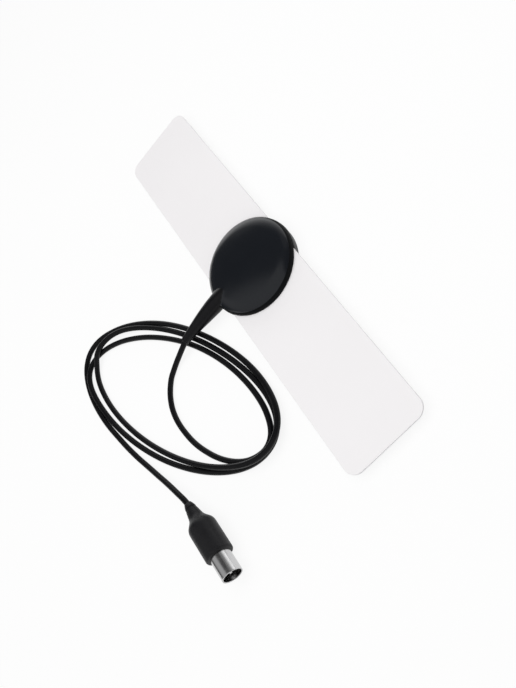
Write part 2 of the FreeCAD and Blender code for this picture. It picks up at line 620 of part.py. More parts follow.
plug_crimp_ring = turned("plug_crimp_ring", [
    (CABLE_BORE, f"{CRIMP_START} + size.slip"), (CRIMP_RADIUS, f"{CRIMP_START} + size.slip"),
    (CRIMP_RADIUS, SHELL_BACK), (CABLE_BORE, SHELL_BACK)], **PLUG_PLACE)
SHELL_END = f"({PLUG_FACE} + size.shell_exposed)"
SHELL_INSIDE = "(size.shell_radius - size.shell_wall)"
ROOT_INSIDE = "(size.shell_root_radius - size.shell_wall)"
SHELL_HOLE = "(size.pin_radius + size.shell_wall)"
plug_shell = turned("plug_shell", [
    (SHELL_HOLE, SHELL_BACK), ("size.shell_root_radius", SHELL_BACK), ("size.shell_root_radius", PLUG_FACE),
    ("size.shell_radius", PLUG_FACE), ("size.shell_radius", SHELL_END), (SHELL_INSIDE, SHELL_END),
    (SHELL_INSIDE, f"{PLUG_FACE} + size.shell_wall"), (ROOT_INSIDE, f"{PLUG_FACE} + size.shell_wall"),
    (ROOT_INSIDE, f"{SHELL_BACK} + size.shell_wall"), (SHELL_HOLE, f"{SHELL_BACK} + size.shell_wall")],
    **PLUG_PLACE)
INSULATOR_BACK = f"({SHELL_BACK} + size.shell_wall)"
plug_insulator = turned("plug_insulator", [
    ("size.pin_radius + size.slip", INSULATOR_BACK), (f"{ROOT_INSIDE} - size.slip", INSULATOR_BACK),
    (f"{ROOT_INSIDE} - size.slip", f"{INSULATOR_BACK} + size.insulator_length"),
    ("size.pin_radius + size.slip", f"{INSULATOR_BACK} + size.insulator_length")], **PLUG_PLACE)
plug_pin = turned("plug_pin", [
    ("0", PIN_BACK), ("size.pin_radius", PIN_BACK),
    ("size.pin_radius", f"{SHELL_END} - size.pin_recess - size.pin_radius"),
    ("size.pin_radius / 2", f"{SHELL_END} - size.pin_recess"), ("0", f"{SHELL_END} - size.pin_recess")],
    **PLUG_PLACE)

nodes = [
    panel_front_sheet, panel_back_sheet, dipole_arm_left, dipole_arm_right, front_cover, back_cover,
    cover_screws, balun_board, balun_core, balun_winding, feed_eyelet_left, feed_eyelet_right,
    strain_relief, cable_jacket_end, cable_braid_end, cable_dielectric_end, cable_conductor_end,
    centre_solder, cord_lead_in, cord_coil, cord_tail, plug_body, plug_crimp_ring, plug_shell,
    plug_insulator, plug_pin,
]

doc.recompute()
for item in doc.Objects:
    if "Invalid" in item.State or "Error" in item.State:
        raise RuntimeError(f"{item.Label} did not recompute: {item.State}")
for node in nodes:
    if node.Shape.isNull() or not node.Shape.isValid() or not node.Shape.Solids:
        raise RuntimeError(f"{node.Label} has no valid solid")

os.makedirs("parts", exist_ok=True)
for node in nodes:
    node.Shape.exportStep(f"parts/{node.Label}.step")
    box = node.Shape.BoundBox
    print(f"{node.Label}: {len(node.Shape.Solids)} solid(s), {node.Shape.Volume:.2f} mm3, "
          f"x {box.XMin:.2f} to {box.XMax:.2f}, y {box.YMin:.2f} to {box.YMax:.2f}, "
          f"z {box.ZMin:.2f} to {box.ZMax:.2f}")
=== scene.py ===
"""Looks of a flat indoor TV antenna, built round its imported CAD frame. Lengths are in metres."""
import bpy
import numpy as np
from mathutils import Matrix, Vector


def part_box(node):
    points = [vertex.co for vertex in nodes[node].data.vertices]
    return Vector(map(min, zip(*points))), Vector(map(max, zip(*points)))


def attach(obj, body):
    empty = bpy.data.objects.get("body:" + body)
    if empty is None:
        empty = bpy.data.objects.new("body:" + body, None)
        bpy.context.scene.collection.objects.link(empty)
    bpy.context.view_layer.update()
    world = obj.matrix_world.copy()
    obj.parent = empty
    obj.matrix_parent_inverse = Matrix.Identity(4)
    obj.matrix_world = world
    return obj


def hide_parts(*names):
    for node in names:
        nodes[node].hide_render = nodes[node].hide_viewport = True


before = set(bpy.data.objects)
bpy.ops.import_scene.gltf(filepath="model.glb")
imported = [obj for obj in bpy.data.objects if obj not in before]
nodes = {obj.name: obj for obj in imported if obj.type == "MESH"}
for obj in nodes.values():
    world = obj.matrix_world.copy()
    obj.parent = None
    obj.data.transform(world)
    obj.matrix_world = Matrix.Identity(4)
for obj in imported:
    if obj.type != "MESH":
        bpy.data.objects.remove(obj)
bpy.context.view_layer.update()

# Panel: two sheets of white plastic film laid over each other, die-cut with rounded corners.
# The front sheet is the antenna's plain face, the back one closes the foil in between them.
MM = 0.001
PANEL_LENGTH, PANEL_WIDTH, PANEL_CORNER = 213 * MM, 40 * MM, 5.5 * MM
FILM_THICKNESS, FILM_EDGE, FILM_MARGIN = 0.4 * MM, 0.04 * MM, 2.5 * MM
CORNER_STEPS, EDGE_STEPS = 13, 9
PANEL_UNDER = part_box("panel_back_sheet")[0].z


def linear(code):
    """Linear RGBA of an sRGB hex code: a channel c becomes ((c + 0.055) / 1.055) ** 2.4, small ones c / 12.92."""
    c = np.array([int(code[i:i + 2], 16) for i in (1, 3, 5)]) / 255
    return (*np.where(c <= 0.04045, c / 12.92, ((c + 0.055) / 1.055) ** 2.4), 1.0)


def add(tree, kind, sockets=None, **settings):
    """Add a shader node: settings are its properties, sockets its inputs as values or as links."""
    made = tree.nodes.new(kind)
    for key, value in settings.items():
        setattr(made, key, value)
    for key, value in (sockets or {}).items():
        if isinstance(value, bpy.types.NodeSocket):
            tree.links.new(value, made.inputs[key])
        else:
            made.inputs[key].default_value = value
    return made


def finish_of(name, low, high, mottle_mm, roughness, grain_mm, relief_mm, **constants):
    """Material whose colour and roughness drift between two values in soft clouds of one size in millimetres,
    with a fine grain of another size raised by a relief in millimetres. Constants go on the shader's sockets."""
    material = bpy.data.materials.new(name)
    material.use_nodes = True
    tree = material.node_tree
    shader = tree.nodes["Principled BSDF"]
    place = add(tree, "ShaderNodeTexCoord").outputs["Object"]
    clouds = add(tree, "ShaderNodeTexNoise", {"Vector": place, "Scale": 1000 / mottle_mm, "Detail": 3.0})
    colour = add(tree, "ShaderNodeMix", {0: clouds.outputs["Fac"], 6: linear(low), 7: linear(high)},
                 data_type="RGBA")
    gloss = add(tree, "ShaderNodeMapRange", {"Value": clouds.outputs["Fac"], "From Min": 0.3, "From Max": 0.7,
                                             "To Min": roughness[0], "To Max": roughness[1]})
    grain = add(tree, "ShaderNodeTexNoise", {"Vector": place, "Scale": 1000 / grain_mm, "Detail": 2.0})
    bump = add(tree, "ShaderNodeBump", {"Height": grain.outputs["Fac"], "Distance": relief_mm * MM,
                                        "Strength": 1.0})
    tree.links.new(colour.outputs[2], shader.inputs["Base Color"])
    tree.links.new(gloss.outputs["Result"], shader.inputs["Roughness"])
    tree.links.new(bump.outputs["Normal"], shader.inputs["Normal"])
    for socket, value in constants.items():
        shader.inputs[socket.replace("_", " ")].default_value = value
    return material


def piece_from(name, points, faces, material, slot, *stands_for):
    """Smooth mesh piece from point and face arrays, riding on the one body and standing for CAD nodes."""
    mesh = bpy.data.meshes.new(name)
    mesh.from_pydata(points, [], faces)
    mesh.validate()
    mesh.materials.append(material)
    mesh.shade_smooth()
    piece = bpy.data.objects.new(name, mesh)
    bpy.context.scene.collection.objects.link(piece)
    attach(piece, "root")
    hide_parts(*stands_for)
    return piece


def ring_faces(rings, around, looped):
    """Quads between neighbouring rings of a closed-round grid, and from the last ring to the first if looped."""
    steps = np.arange(rings if looped else rings - 1)
    i, j = (grid.ravel() for grid in np.meshgrid(steps, np.arange(around), indexing="ij"))
    i_next, j_next = (i + 1) % rings, (j + 1) % around
    return np.stack([i * around + j, i * around + j_next, i_next * around + j_next, i_next * around + j], 1)


def film(name, low, node):
    """One sheet: the outline of a rectangle with quarter-circle corners, moved in by d along its normal, on rings
    that go round the sheet's section: under face, half-round cut edge, top face."""
    quarter = np.linspace(0, np.pi / 2, CORNER_STEPS)
    angle = (quarter[None] + np.arange(4)[:, None] * np.pi / 2).ravel()
    side = np.array([[1, 1], [-1, 1], [-1, -1], [1, -1]]).repeat(len(quarter), 0)
    centre = side * (np.array([PANEL_LENGTH, PANEL_WIDTH]) / 2 - PANEL_CORNER)
    normal = np.stack([np.cos(angle), np.sin(angle)], 1)
    turn = np.linspace(-np.pi / 2, np.pi / 2, EDGE_STEPS)
    margin = [FILM_MARGIN, 4 * FILM_EDGE]
    inset = np.concatenate([margin, FILM_EDGE * (1 - np.cos(turn)), margin[::-1]])
    straight = FILM_THICKNESS - 2 * FILM_EDGE
    lift = FILM_EDGE * (1 + np.sin(turn)) + straight * (turn > 0)
    height = low + np.concatenate([[0, 0], lift, [FILM_THICKNESS, FILM_THICKNESS]])
    outline = centre[None] + normal[None] * (PANEL_CORNER - inset)[:, None, None]
    points = np.concatenate([outline, np.broadcast_to(height[:, None, None], (*outline.shape[:2], 1))], 2)
    rings, around = outline.shape[:2]
    faces = ring_faces(rings, around, False).tolist()
    faces += [list(range(around))[::-1], list(range((rings - 1) * around, rings * around))]
    sheet = piece_from(name, points.reshape(-1, 3), faces, white_film, "white_film", node)
    # The cut-edge rings are marked for a painted shade: the sheet is coloured greyer there.
    cut = sheet.data.attributes.new("cut_edge_shade", "FLOAT", "POINT")
    cut.data.foreach_set("value", (inset < FILM_EDGE * 1.01).repeat(around).astype(np.float32))
    return sheet


# Calendered white polyester film: an even semi-matte white that drifts a little in tone, with a fine
# rolled tooth that softens reflections. The die-cut edge is a shade greyer, partly its own duller cut face
# and partly painted shade standing in for the gap between the sheets and the shadow along their edge.
white_film = finish_of("calendered_polyester_film", "#EEECED", "#F3F1F2", 60.0, (0.40, 0.48), 0.6, 0.002,
                       IOR=1.5, Specular_IOR_Level=0.4)
film_tree = white_film.node_tree
film_shader = film_tree.nodes["Principled BSDF"]
# Painted shade: where the cut-edge mark is set, the film's colour is mixed towards grey, partly for its duller cut
# face and partly for the gap and shadow along the edge.
edge = add(film_tree, "ShaderNodeAttribute", attribute_name="cut_edge_shade")
film_colour = add(film_tree, "ShaderNodeMix", {
    0: edge.outputs["Fac"], 6: film_shader.inputs["Base Color"].links[0].from_socket, 7: linear("#E2E1E2")},
    data_type="RGBA")
film_tree.links.new(film_colour.outputs[2], film_shader.inputs["Base Color"])

film("panel_back_film", PANEL_UNDER, "panel_back_sheet")
film("panel_front_film", PANEL_UNDER + FILM_THICKNESS, "panel_front_sheet")

# Foil arms between the films, and the matching board inside the hub with its wound ferrite core, brass eyelets and
# the lead's stripped end, all kept as their CAD nodes. Foil and solder are bright greys, the braid a warmer and
# grainy one, copper and brass warm metals, the board a glossy green, ferrite a dull charcoal, polyethylene milky.
aluminium_foil = finish_of("rolled_aluminium_foil", "#C2C4C6", "#D0D2D4", 12.0, (0.22, 0.32), 0.3, 0.001,
                           Metallic=1.0)
glass_fibre_board = finish_of("solder_masked_glass_fibre", "#1E5230", "#276339", 3.0, (0.30, 0.40), 0.4, 0.004,
                              IOR=1.5)
sintered_ferrite = finish_of("sintered_ferrite", "#3A3A3D", "#47474A", 0.8, (0.55, 0.70), 0.12, 0.010, IOR=1.6)
copper_wire = finish_of("drawn_copper_wire", "#C0714A", "#CC8058", 2.0, (0.22, 0.34), 0.15, 0.002, Metallic=1.0)
turned_brass = finish_of("turned_brass", "#C09C57", "#CDAA66", 2.0, (0.24, 0.34), 0.15, 0.002, Metallic=1.0)
tinned_braid = finish_of("tinned_copper_braid", "#B9B2A2", "#CFC9BC", 0.5, (0.30, 0.45), 0.20, 0.030, Metallic=1.0)
polyethylene = finish_of("natural_polyethylene", "#E6E4DD", "#EFEDE7", 3.0, (0.35, 0.45), 0.3, 0.002, IOR=1.5)
bright_solder = finish_of("tin_solder", "#BDBFC1", "#CBCDCE", 1.0, (0.18, 0.30), 0.2, 0.003, Metallic=1.0)
# Extruded PVC: a black cable jacket, smoother than the moulded pieces, so it carries thin bright lines.
pvc_jacket = finish_of("extruded_black_pvc", "#0C0C0E", "#111113", 9.0, (0.30, 0.38), 0.8, 0.004,
                       IOR=1.5, Specular_IOR_Level=0.16)


def dress(material, *names):
    """Put one material on CAD nodes that show as they are."""
    for name in names:
        nodes[name].data.materials.clear()
        nodes[name].data.materials.append(material)


dress(aluminium_foil, "dipole_arm_left", "dipole_arm_right")
dress(glass_fibre_board, "balun_board")
dress(sintered_ferrite, "balun_core")
dress(copper_wire, "balun_winding", "cable_conductor_end")
dress(turned_brass, "feed_eyelet_left", "feed_eyelet_right")
dress(tinned_braid, "cable_braid_end")
dress(polyethylene, "cable_dielectric_end")
dress(bright_solder, "centre_solder")
dress(pvc_jacket, "cable_jacket_end")

# Back cover: the round moulded cup that the panel lies on, held by two sunk screws from below.
# It is black ABS like the front cover, and cup and screws stay as their CAD nodes.
# Moulded ABS: a satin black whose upright wall picks up a soft grey from the bright floor.
satin_abs = finish_of("moulded_black_abs", "#121315", "#161719", 14.0, (0.34, 0.44), 0.4, 0.003,
                      IOR=1.5, Specular_IOR_Level=0.13)
# Zinc-plated steel: a bright grey metal, a little duller than nickel.
zinc_steel = finish_of("zinc_plated_steel", "#B4B6B8", "#C4C6C8", 1.5, (0.25, 0.38), 0.15, 0.002, Metallic=1.0)
dress(satin_abs, "back_cover")
dress(zinc_steel, "cover_screws")

# Front cover: a crowned round shell moulded in one with a rounded hood, under which the lead comes in.
# Its thin rim stands on the panel, and a wide shoulder rolls over into the crowned face. The face is polished;
# the steep half of the shoulder is spark-eroded, and the hood wears the boot's soft skin.
HUB_RADIUS, COVER_WALL, RIM_HEIGHT = 22.85 * MM, 1.4 * MM, 0.85 * MM
SHOULDER_WIDE, SHOULDER_TALL, CROWN_LEAN = 8.5 * MM, 4.2 * MM, np.radians(9.5)
HOOD_RADIUS, HOOD_END, HOOD_TIP, HOOD_BLEND, HOOD_SIDE = 4.2 * MM, -22 * MM, 12 * MM, 0.3 * MM, 0.4 * MM
PANEL_TOP, CABLE_AXIS = PANEL_UNDER + 2 * FILM_THICKNESS, 6.6 * MM
COVER_AROUND = 360


def cover_skin(inset, crown_rings, shoulder_rings, wall_rings):
    """Skin of the cover moved in by an inset, as rings from near the crown's middle to the rim. The section is a
    crown arc up to a lean, tangent to a shoulder that is part of an oval; its height h and the hood's height g join
    as (h + g + sqrt((h - g)^2 + k^2)) / 2, where g is a half-round over the distance to the hood's axis line, drawn
    out to an oval tip at its inner end. The wall drops from there."""
    radius, wide, tall = HUB_RADIUS - inset, SHOULDER_WIDE - inset, SHOULDER_TALL - inset
    start = np.arctan(wide / tall * np.tan(CROWN_LEAN))
    flat = radius - wide * (1 - np.sin(start))
    bow = flat / np.sin(CROWN_LEAN)
    crown = np.linspace(0.012, 1, crown_rings) * CROWN_LEAN
    roll = np.linspace(start, np.pi / 2, shoulder_rings + 1)[1:]
    r = np.concatenate([bow * np.sin(crown), flat + wide * (np.sin(roll) - np.sin(start))])
    base = PANEL_TOP + RIM_HEIGHT
    h = np.concatenate([base + tall * np.cos(start) + bow * (np.cos(crown) - np.cos(CROWN_LEAN)),
                        base + tall * np.cos(roll)])
    angle = np.arange(COVER_AROUND) * 2 * np.pi / COVER_AROUND
    x, y = r[:, None] * np.cos(angle), r[:, None] * np.sin(angle)
    away = np.hypot(x - HOOD_SIDE, np.maximum(y - HOOD_END, 0) * HOOD_RADIUS / HOOD_TIP)
    hood = HOOD_RADIUS - inset
    g = CABLE_AXIS + np.sqrt(np.maximum(hood ** 2 - away ** 2, 0)) - 2 * np.maximum(away - hood, 0)
    top = (h[:, None] + g + np.sqrt((h[:, None] - g) ** 2 + HOOD_BLEND ** 2)) / 2
    fall = np.linspace(0, 1, wall_rings + 1)[1:, None]
    wall = top[-1] * (1 - fall) + PANEL_TOP * fall
    x, y = (np.concatenate([grid, grid[-1:].repeat(wall_rings, 0)]) for grid in (x, y))
    return np.stack([x, y, np.concatenate([top, wall])], 2)


CROWN_RINGS, POLISHED_ROLL = 56, 15
HOOD_RISE = 0.12 * MM
outside = cover_skin(0.0, CROWN_RINGS, shoulder_rings=24, wall_rings=8)
inside = cover_skin(COVER_WALL, crown_rings=24, shoulder_rings=6, wall_rings=4)[::-1]
cover_rings = np.concatenate([outside, inside])
crown_tip, ceiling_tip = ([0, 0, ring[:, 2].mean()] for ring in (outside[0], inside[-1]))
count = len(cover_rings) * COVER_AROUND
j = np.arange(COVER_AROUND)
j_next = (j + 1) % COVER_AROUND
last_ring = count - COVER_AROUND
cover_faces = ring_faces(len(cover_rings), COVER_AROUND, False)[:, ::-1].tolist()
cover_faces += np.stack([np.full_like(j, count), j, j_next], 1).tolist()
cover_faces += np.stack([np.full_like(j, count + 1), last_ring + j_next, last_ring + j], 1).tolist()
# Spark-eroded ABS: a deep matt black with a fine even grain, which takes hardly any reflection.
matt_abs = finish_of("spark_eroded_black_abs", "#0C0D0E", "#0F1011", 14.0, (0.46, 0.56), 0.35, 0.004,
                     IOR=1.5, Specular_IOR_Level=0.05)
# Moulded soft PVC: a deep black with a slightly rubbery sheen, which is broader and weaker than the hub's.
soft_pvc = finish_of("moulded_soft_pvc", "#0D0D0F", "#121214", 6.0, (0.30, 0.38), 0.45, 0.005,
                     IOR=1.5, Specular_IOR_Level=0.2)
# Polished ABS: a blue-black that mirrors the lights softly, with a faint drift in its gloss.
polished_abs = finish_of("polished_black_abs", "#101318", "#13161B", 14.0, (0.16, 0.22), 0.5, 0.0008,
                         IOR=1.5, Specular_IOR_Level=0.5)
cover = piece_from("hub_front_cover", np.concatenate([cover_rings.reshape(-1, 3), [crown_tip, ceiling_tip]]),
                   cover_faces, polished_abs, "black_cover", "front_cover")
cover.data.materials.append(matt_abs)
cover.data.materials.append(soft_pvc)
steep = np.arange(len(cover_rings) - 1)[:, None] >= CROWN_RINGS + POLISHED_ROLL
raised = outside[..., 2] - np.roll(outside[..., 2], COVER_AROUND // 2, 1) > HOOD_RISE
hooded = np.zeros((len(cover_rings) - 1, COVER_AROUND), bool)
hooded[:len(outside)] = raised & np.roll(raised, -1, 1)
finish = np.concatenate([np.where(hooded, 2, steep).ravel(), np.zeros(COVER_AROUND), np.ones(COVER_AROUND)])
cover.data.polygons.foreach_set("material_index", finish.astype(np.int32))

# Strain relief: a soft PVC boot moulded round the lead, with a flange caught behind the hub's wall.
# It tapers in one gentle curve, so that the lead bends there without a kink.
TURNED_AROUND = 96
LEAD_BORE, BOOT_START, BOOT_BEND, BOOT_TIP = 1.42, -20.55, 4.0, 26.45
BOOT_ASIDE, BOOT_LEAN, BOOT_DROP = 0.3 * MM, 0.6 * MM, 0.65 * MM


def rounded(corners, steps=6):
    """Closed section through corners (radius, along, rounding) in millimetres: each corner C is replaced by the
    curve (1-t)^2 A + 2t(1-t) C + t^2 B from A on the side before it to B on the side after it, its rounding away,
    with one more point a little further out on each side to keep the flats flat."""
    corners = np.array(corners) * MM
    c, reach = corners[:, :2], corners[:, 2:3]
    before, after = np.roll(c, 1, 0) - c, np.roll(c, -1, 0) - c
    before /= np.linalg.norm(before, axis=1, keepdims=True)
    after /= np.linalg.norm(after, axis=1, keepdims=True)
    t = np.linspace(0, 1, steps + 1)[None, :, None]
    a, b = c + before * reach, c + after * reach
    curve = (1 - t) ** 2 * a[:, None] + 2 * t * (1 - t) * c[:, None] + t ** 2 * b[:, None]
    rows = [(c + before * reach * 1.3)[:, None], curve, (c + after * reach * 1.3)[:, None]]
    return np.concatenate(rows, 1).reshape(-1, 2)


def turned(name, section, start, heading, material, slot, node, squeeze=None, bend=None):
    """Piece turned from a closed section about a level axis: a point at radius r, along s and angle a lies at
    start + s heading + r (cos(a) side + sin(a) up). Squeeze gives, for each s, the share of the height kept, and
    bend how far the axis has moved to the side and up."""
    heading = np.array([*heading, 0.0])
    across = np.array([-heading[1], heading[0], 0.0])
    angle = np.arange(TURNED_AROUND) * 2 * np.pi / TURNED_AROUND
    r, s = section[:, :1], section[:, 1:]
    tall = np.ones_like(s) if squeeze is None else squeeze(s)
    aside, lifted = (np.zeros_like(s), np.zeros_like(s)) if bend is None else bend(s)
    level, upright = r * np.cos(angle) + aside, r * np.sin(angle) * tall + lifted
    points = np.array(start) + s[..., None] * heading + level[..., None] * across + upright[..., None] * [0, 0, 1]
    faces = ring_faces(len(section), TURNED_AROUND, True)
    return piece_from(name, points.reshape(-1, 3), faces.tolist(), material, slot, node)


boot_section = rounded([
    (LEAD_BORE, 0, 0.05), (3.3, 0, 0.15), (3.3, 1.0, 0.15), (2.5, 1.0, 0.05), (2.5, 1.8, 0.05), (4.05, 1.8, 0.1),
    (4.05, 4.5, 1.2), (3.5, 11.5, 1.9), (2.85, 17.5, 1.9), (2.32, 23.0, 1.6),
    (2.02, BOOT_TIP, 0.3), (LEAD_BORE, BOOT_TIP, 0.1)])


def boot_droop(s):
    """The soft boot leans with the lead and hangs a little: with p the way past the root from 0 to 1, it stands
    aside by a constant and p^2.5, and drops by p^2."""
    past = np.clip((s / MM - BOOT_BEND) / (BOOT_TIP - BOOT_BEND), 0, 1)
    return BOOT_ASIDE + BOOT_LEAN * past ** 2.5, -BOOT_DROP * past ** 2


turned("strain_relief_boot", boot_section, (0, BOOT_START * MM, CABLE_AXIS), (0, -1), soft_pvc, "black_boot",
       "strain_relief", bend=boot_droop)

# Lead: one thin coaxial cable with a soft black PVC jacket, about a metre long from hub to plug.
# It leaves the boot over the coil, lies in loose oval turns on the floor and rises into the plug.
CABLE_RADIUS = 1.35 * MM
# The height of the cable's middle where it lies on the floor.
LOW = CABLE_RADIUS
LEAD_POINTS = [
    (0.0003, -0.023, 0.0066), (0.0003, -0.036, 0.0065), (0.0006, -0.043, 0.0062), (0.001, -0.0472, 0.0057),
    (0.0015, -0.0509, 0.0047), (0.0019, -0.0542, 0.0036), (0.0024, -0.0575, 0.0026), (0.0032, -0.0606, 0.0018),
    (0.0043, -0.0632, 0.0014), (0.0057, -0.0655, LOW), (0.0078, -0.0675, LOW), (0.0101, -0.06935, LOW),
    (0.0126, -0.07095, LOW), (0.0155, -0.0723, LOW), (0.0184, -0.0733, LOW), (0.0216, -0.07395, LOW),
    (0.0251, -0.07425, LOW), (0.0288, -0.0742, LOW), (0.0328, -0.07375, LOW), (0.037, -0.0731, LOW),
    (0.0418, -0.0719, LOW), (0.0471, -0.0699, LOW), (0.0546, -0.0662, LOW), (0.0612, -0.0612, LOW)]
TAIL_POINTS = [
    (-0.0217, -0.111, LOW), (-0.0128, -0.11075, LOW), (-0.003, -0.1095, LOW), (0.008, -0.10685, LOW),
    (0.013, -0.10565, LOW), (0.0181, -0.1042, LOW), (0.0233, -0.1026, LOW), (0.0285, -0.10075, LOW),
    (0.034, -0.09865, 0.0017), (0.0394, -0.09645, 0.0025), (0.045, -0.094, 0.0035), (0.0505, -0.0917, 0.0046),
    (0.0556, -0.0897, 0.0056), (0.0602, -0.0879, 0.00635), (0.0645, -0.087, 0.0065), (0.072, -0.0865, 0.0065),
    (0.0804, -0.08592, 0.0065)]
COIL_CENTRE, COIL_TILT, COIL_HALF = np.array([0.0125, -0.0695]), np.radians(28), np.array([0.063, 0.028])
# The turns, one pair every ten degrees counted on from turn to turn: how far the cable lies outside the oval, and
# how far it is lifted off the floor by the turns that it crosses, in millimetres.
TURNS = np.array([
    (-1.57, 0.0), (-1.04, 0.0), (-0.7, 0.0), (-1.12, 0.0), (-1.85, 0.0), (-2.62, 0.0), (-2.98, 0.0), (-3.22, 0.0),
    (-3.23, 0.0), (-3.12, 0.0), (-3.02, 0.0), (-3.0, 0.0), (-3.1, 0.0), (-3.55, 0.0), (-4.03, 0.0), (-4.5, 0.0),
    (-5.0, 0.0), (-5.3, 0.0), (-5.46, 0.0), (-5.25, 0.0), (-4.62, 0.01), (-3.44, 0.15), (-1.9, 0.65), (-0.53, 1.18),
    (0.03, 1.35), (0.2, 0.95), (0.43, 0.37), (0.7, 0.08), (0.91, 0.01), (1.09, 0.02), (1.27, 0.04), (1.42, 0.06),
    (1.45, 0.09), (1.43, 0.11), (1.33, 0.1), (1.22, 0.18), (1.19, 0.76), (1.38, 1.42), (1.58, 1.59), (1.6, 1.06),
    (1.51, 0.47), (1.35, 0.05), (1.01, 0.0), (0.65, 0.0), (0.3, 0.0), (0.01, 0.0), (-0.08, 0.0), (-0.07, 0.0),
    (0.03, 0.0), (0.16, 0.12), (0.22, 0.48), (0.15, 1.1), (0.05, 1.53), (-0.27, 1.86), (-1.28, 2.08), (-3.21, 2.52),
    (-5.36, 2.89), (-6.58, 2.27), (-6.34, 1.13), (-5.65, 0.35), (-5.01, 0.03), (-4.68, 0.0), (-4.24, 0.0),
    (-3.73, 0.0), (-3.22, 0.0), (-2.71, 0.0), (-2.22, 0.0), (-1.8, 0.02), (-1.46, 0.36), (-1.14, 1.11), (-0.76, 1.97),
    (-0.32, 2.69), (0.44, 3.55), (1.36, 4.2), (2.21, 4.29), (2.78, 3.67), (3.24, 2.74), (3.36, 2.0), (3.33, 1.56),
    (3.22, 1.04), (3.13, 0.39), (3.08, 0.07), (3.06, 0.0), (3.07, 0.0), (3.08, 0.0), (3.09, 0.0), (2.99, 0.0),
    (2.7, 0.0), (2.4, 0.0), (2.1, 0.0), (1.93, 0.0), (2.2, 0.0), (2.6, 0.0), (2.88, 0.0), (2.75, 0.0), (2.56, 0.0),
    (2.58, 0.0)])
TURN_STEP, FIRST_ANGLE = 10.0, -30.0

theta = np.radians(FIRST_ANGLE + TURN_STEP * np.arange(len(TURNS)))
# The spline runs inside its points by this share on a round bend, so the oval is made that much larger.
fuller = 1 / (0.75 + 0.25 * np.cos(np.radians(TURN_STEP)))
oval = np.stack([np.cos(theta), np.sin(theta)], 1) * COIL_HALF
outward = np.stack([np.cos(theta), np.sin(theta)], 1) / COIL_HALF
outward /= np.linalg.norm(outward, axis=1, keepdims=True)
oval = oval * fuller + outward * TURNS[:, :1] * MM
spin = np.array([[np.cos(COIL_TILT), np.sin(COIL_TILT)], [-np.sin(COIL_TILT), np.cos(COIL_TILT)]])
coil_heights = LOW + TURNS[:, 1:] * MM
coil_points = np.concatenate([oval @ spin + COIL_CENTRE, coil_heights], 1)
lead_route = np.concatenate([LEAD_POINTS, coil_points, TAIL_POINTS])

lead_curve = bpy.data.curves.new("coaxial_lead", "CURVE")
lead_curve.dimensions = "3D"
spline = lead_curve.splines.new("NURBS")
spline.points.add(len(lead_route) - 1)
spline.points.foreach_set("co", np.concatenate([lead_route, np.ones((len(lead_route), 1))], 1).ravel())
spline.order_u = 3
spline.use_endpoint_u = True
spline.use_smooth = True
lead_curve.resolution_u = 8
lead_curve.bevel_depth = CABLE_RADIUS
lead_curve.bevel_resolution = 6
lead_curve.use_fill_caps = True
lead_curve.materials.append(pvc_jacket)
lead = bpy.data.objects.new("coaxial_lead", lead_curve)
bpy.context.scene.collection.objects.link(lead)
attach(lead, "root")
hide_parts("cord_lead_in", "cord_coil", "cord_tail")

# Plug grip: soft PVC moulded in one shot over the crimped lead and the root of the shell.
# A short collar with a ring groove takes the lead, then the neck swells into the round grip.
PLUG_START = (63.3 * MM, -87.05 * MM, 6.5 * MM)
PLUG_TURN = np.radians(3.8)
PLUG_HEADING = (np.cos(PLUG_TURN), np.sin(PLUG_TURN))
CRIMP_SEAT, SHELL_SEAT, GRIP_END = 12.4, 17.4, 28.4
NECK_PRESS, NECK_MIDDLE, NECK_SPREAD = 0.1, 6.5, 2.2
# Moulded grip PVC: harder and greyer than the boot, with an even satin surface.
grip_pvc = finish_of("moulded_grip_pvc", "#161618", "#1C1C1E", 6.0, (0.38, 0.48), 0.45, 0.006,
                     IOR=1.5, Specular_IOR_Level=0.22)
grip_section = rounded([
    (LEAD_BORE, 0, 0.08), (1.72, 0, 0.15), (2.3, 1.5, 0.35), (2.55, 2.6, 0.12), (2.2, 2.6, 0.08), (2.2, 3.4, 0.08),
    (2.65, 3.4, 0.15), (3.75, 8.5, 1.2), (6.38, 12.3, 1.5), (6.4, GRIP_END, 1.1), (4.45, GRIP_END, 0.15),
    (4.45, SHELL_SEAT, 0.05), (2.1, SHELL_SEAT, 0.05), (2.1, CRIMP_SEAT, 0.05), (LEAD_BORE, CRIMP_SEAT, 0.05)])


def flat_neck(s):
    """Share of the height kept along the plug: the neck is pressed a little flat, most at its middle."""
    return 1 - NECK_PRESS * np.exp(-((s / MM - NECK_MIDDLE) / NECK_SPREAD) ** 2)


grip = turned("plug_grip", grip_section, PLUG_START, PLUG_HEADING, grip_pvc, "black_grip", "plug_body", flat_neck)

# Plug contacts: a drawn and nickel-plated brass shell, a black insulating disc inside it and a turned pin.
# The shell's mouth is rolled smooth, and its narrower root is held in the grip.
# Nickel plate: a bright grey metal with a fine grain and a faint drift in its gloss; on the round shell the room
# shows as soft stripes.
nickel_plate = finish_of("nickel_plated_brass", "#C3C3C4", "#CFCFCF", 4.0, (0.16, 0.26), 0.25, 0.0012, Metallic=1.0)
# Black acetal: a plain satin black that keeps the shell's mouth dark round the pin.
black_acetal = finish_of("black_acetal", "#161618", "#1E1E20", 3.0, (0.40, 0.50), 0.3, 0.003, IOR=1.48)
SHELL_OUT, SHELL_IN, SHELL_MOUTH = 4.75, 4.15, 38.4
shell_section = rounded([
    (1.8, SHELL_SEAT, 0.05), (4.4, SHELL_SEAT, 0.1), (4.4, GRIP_END, 0.03), (SHELL_OUT, GRIP_END, 0.08),
    (SHELL_OUT, SHELL_MOUTH, 0.28), (SHELL_IN, SHELL_MOUTH, 0.25), (SHELL_IN, 29.0, 0.05), (3.8, 29.0, 0.05),
    (3.8, 18.0, 0.05), (1.8, 18.0, 0.05)])
shell = turned("plug_shell_sleeve", shell_section, PLUG_START, PLUG_HEADING, nickel_plate, "nickel", "plug_shell")
dress(black_acetal, "plug_insulator")
dress(nickel_plate, "plug_pin")
dress(turned_brass, "plug_crimp_ring")

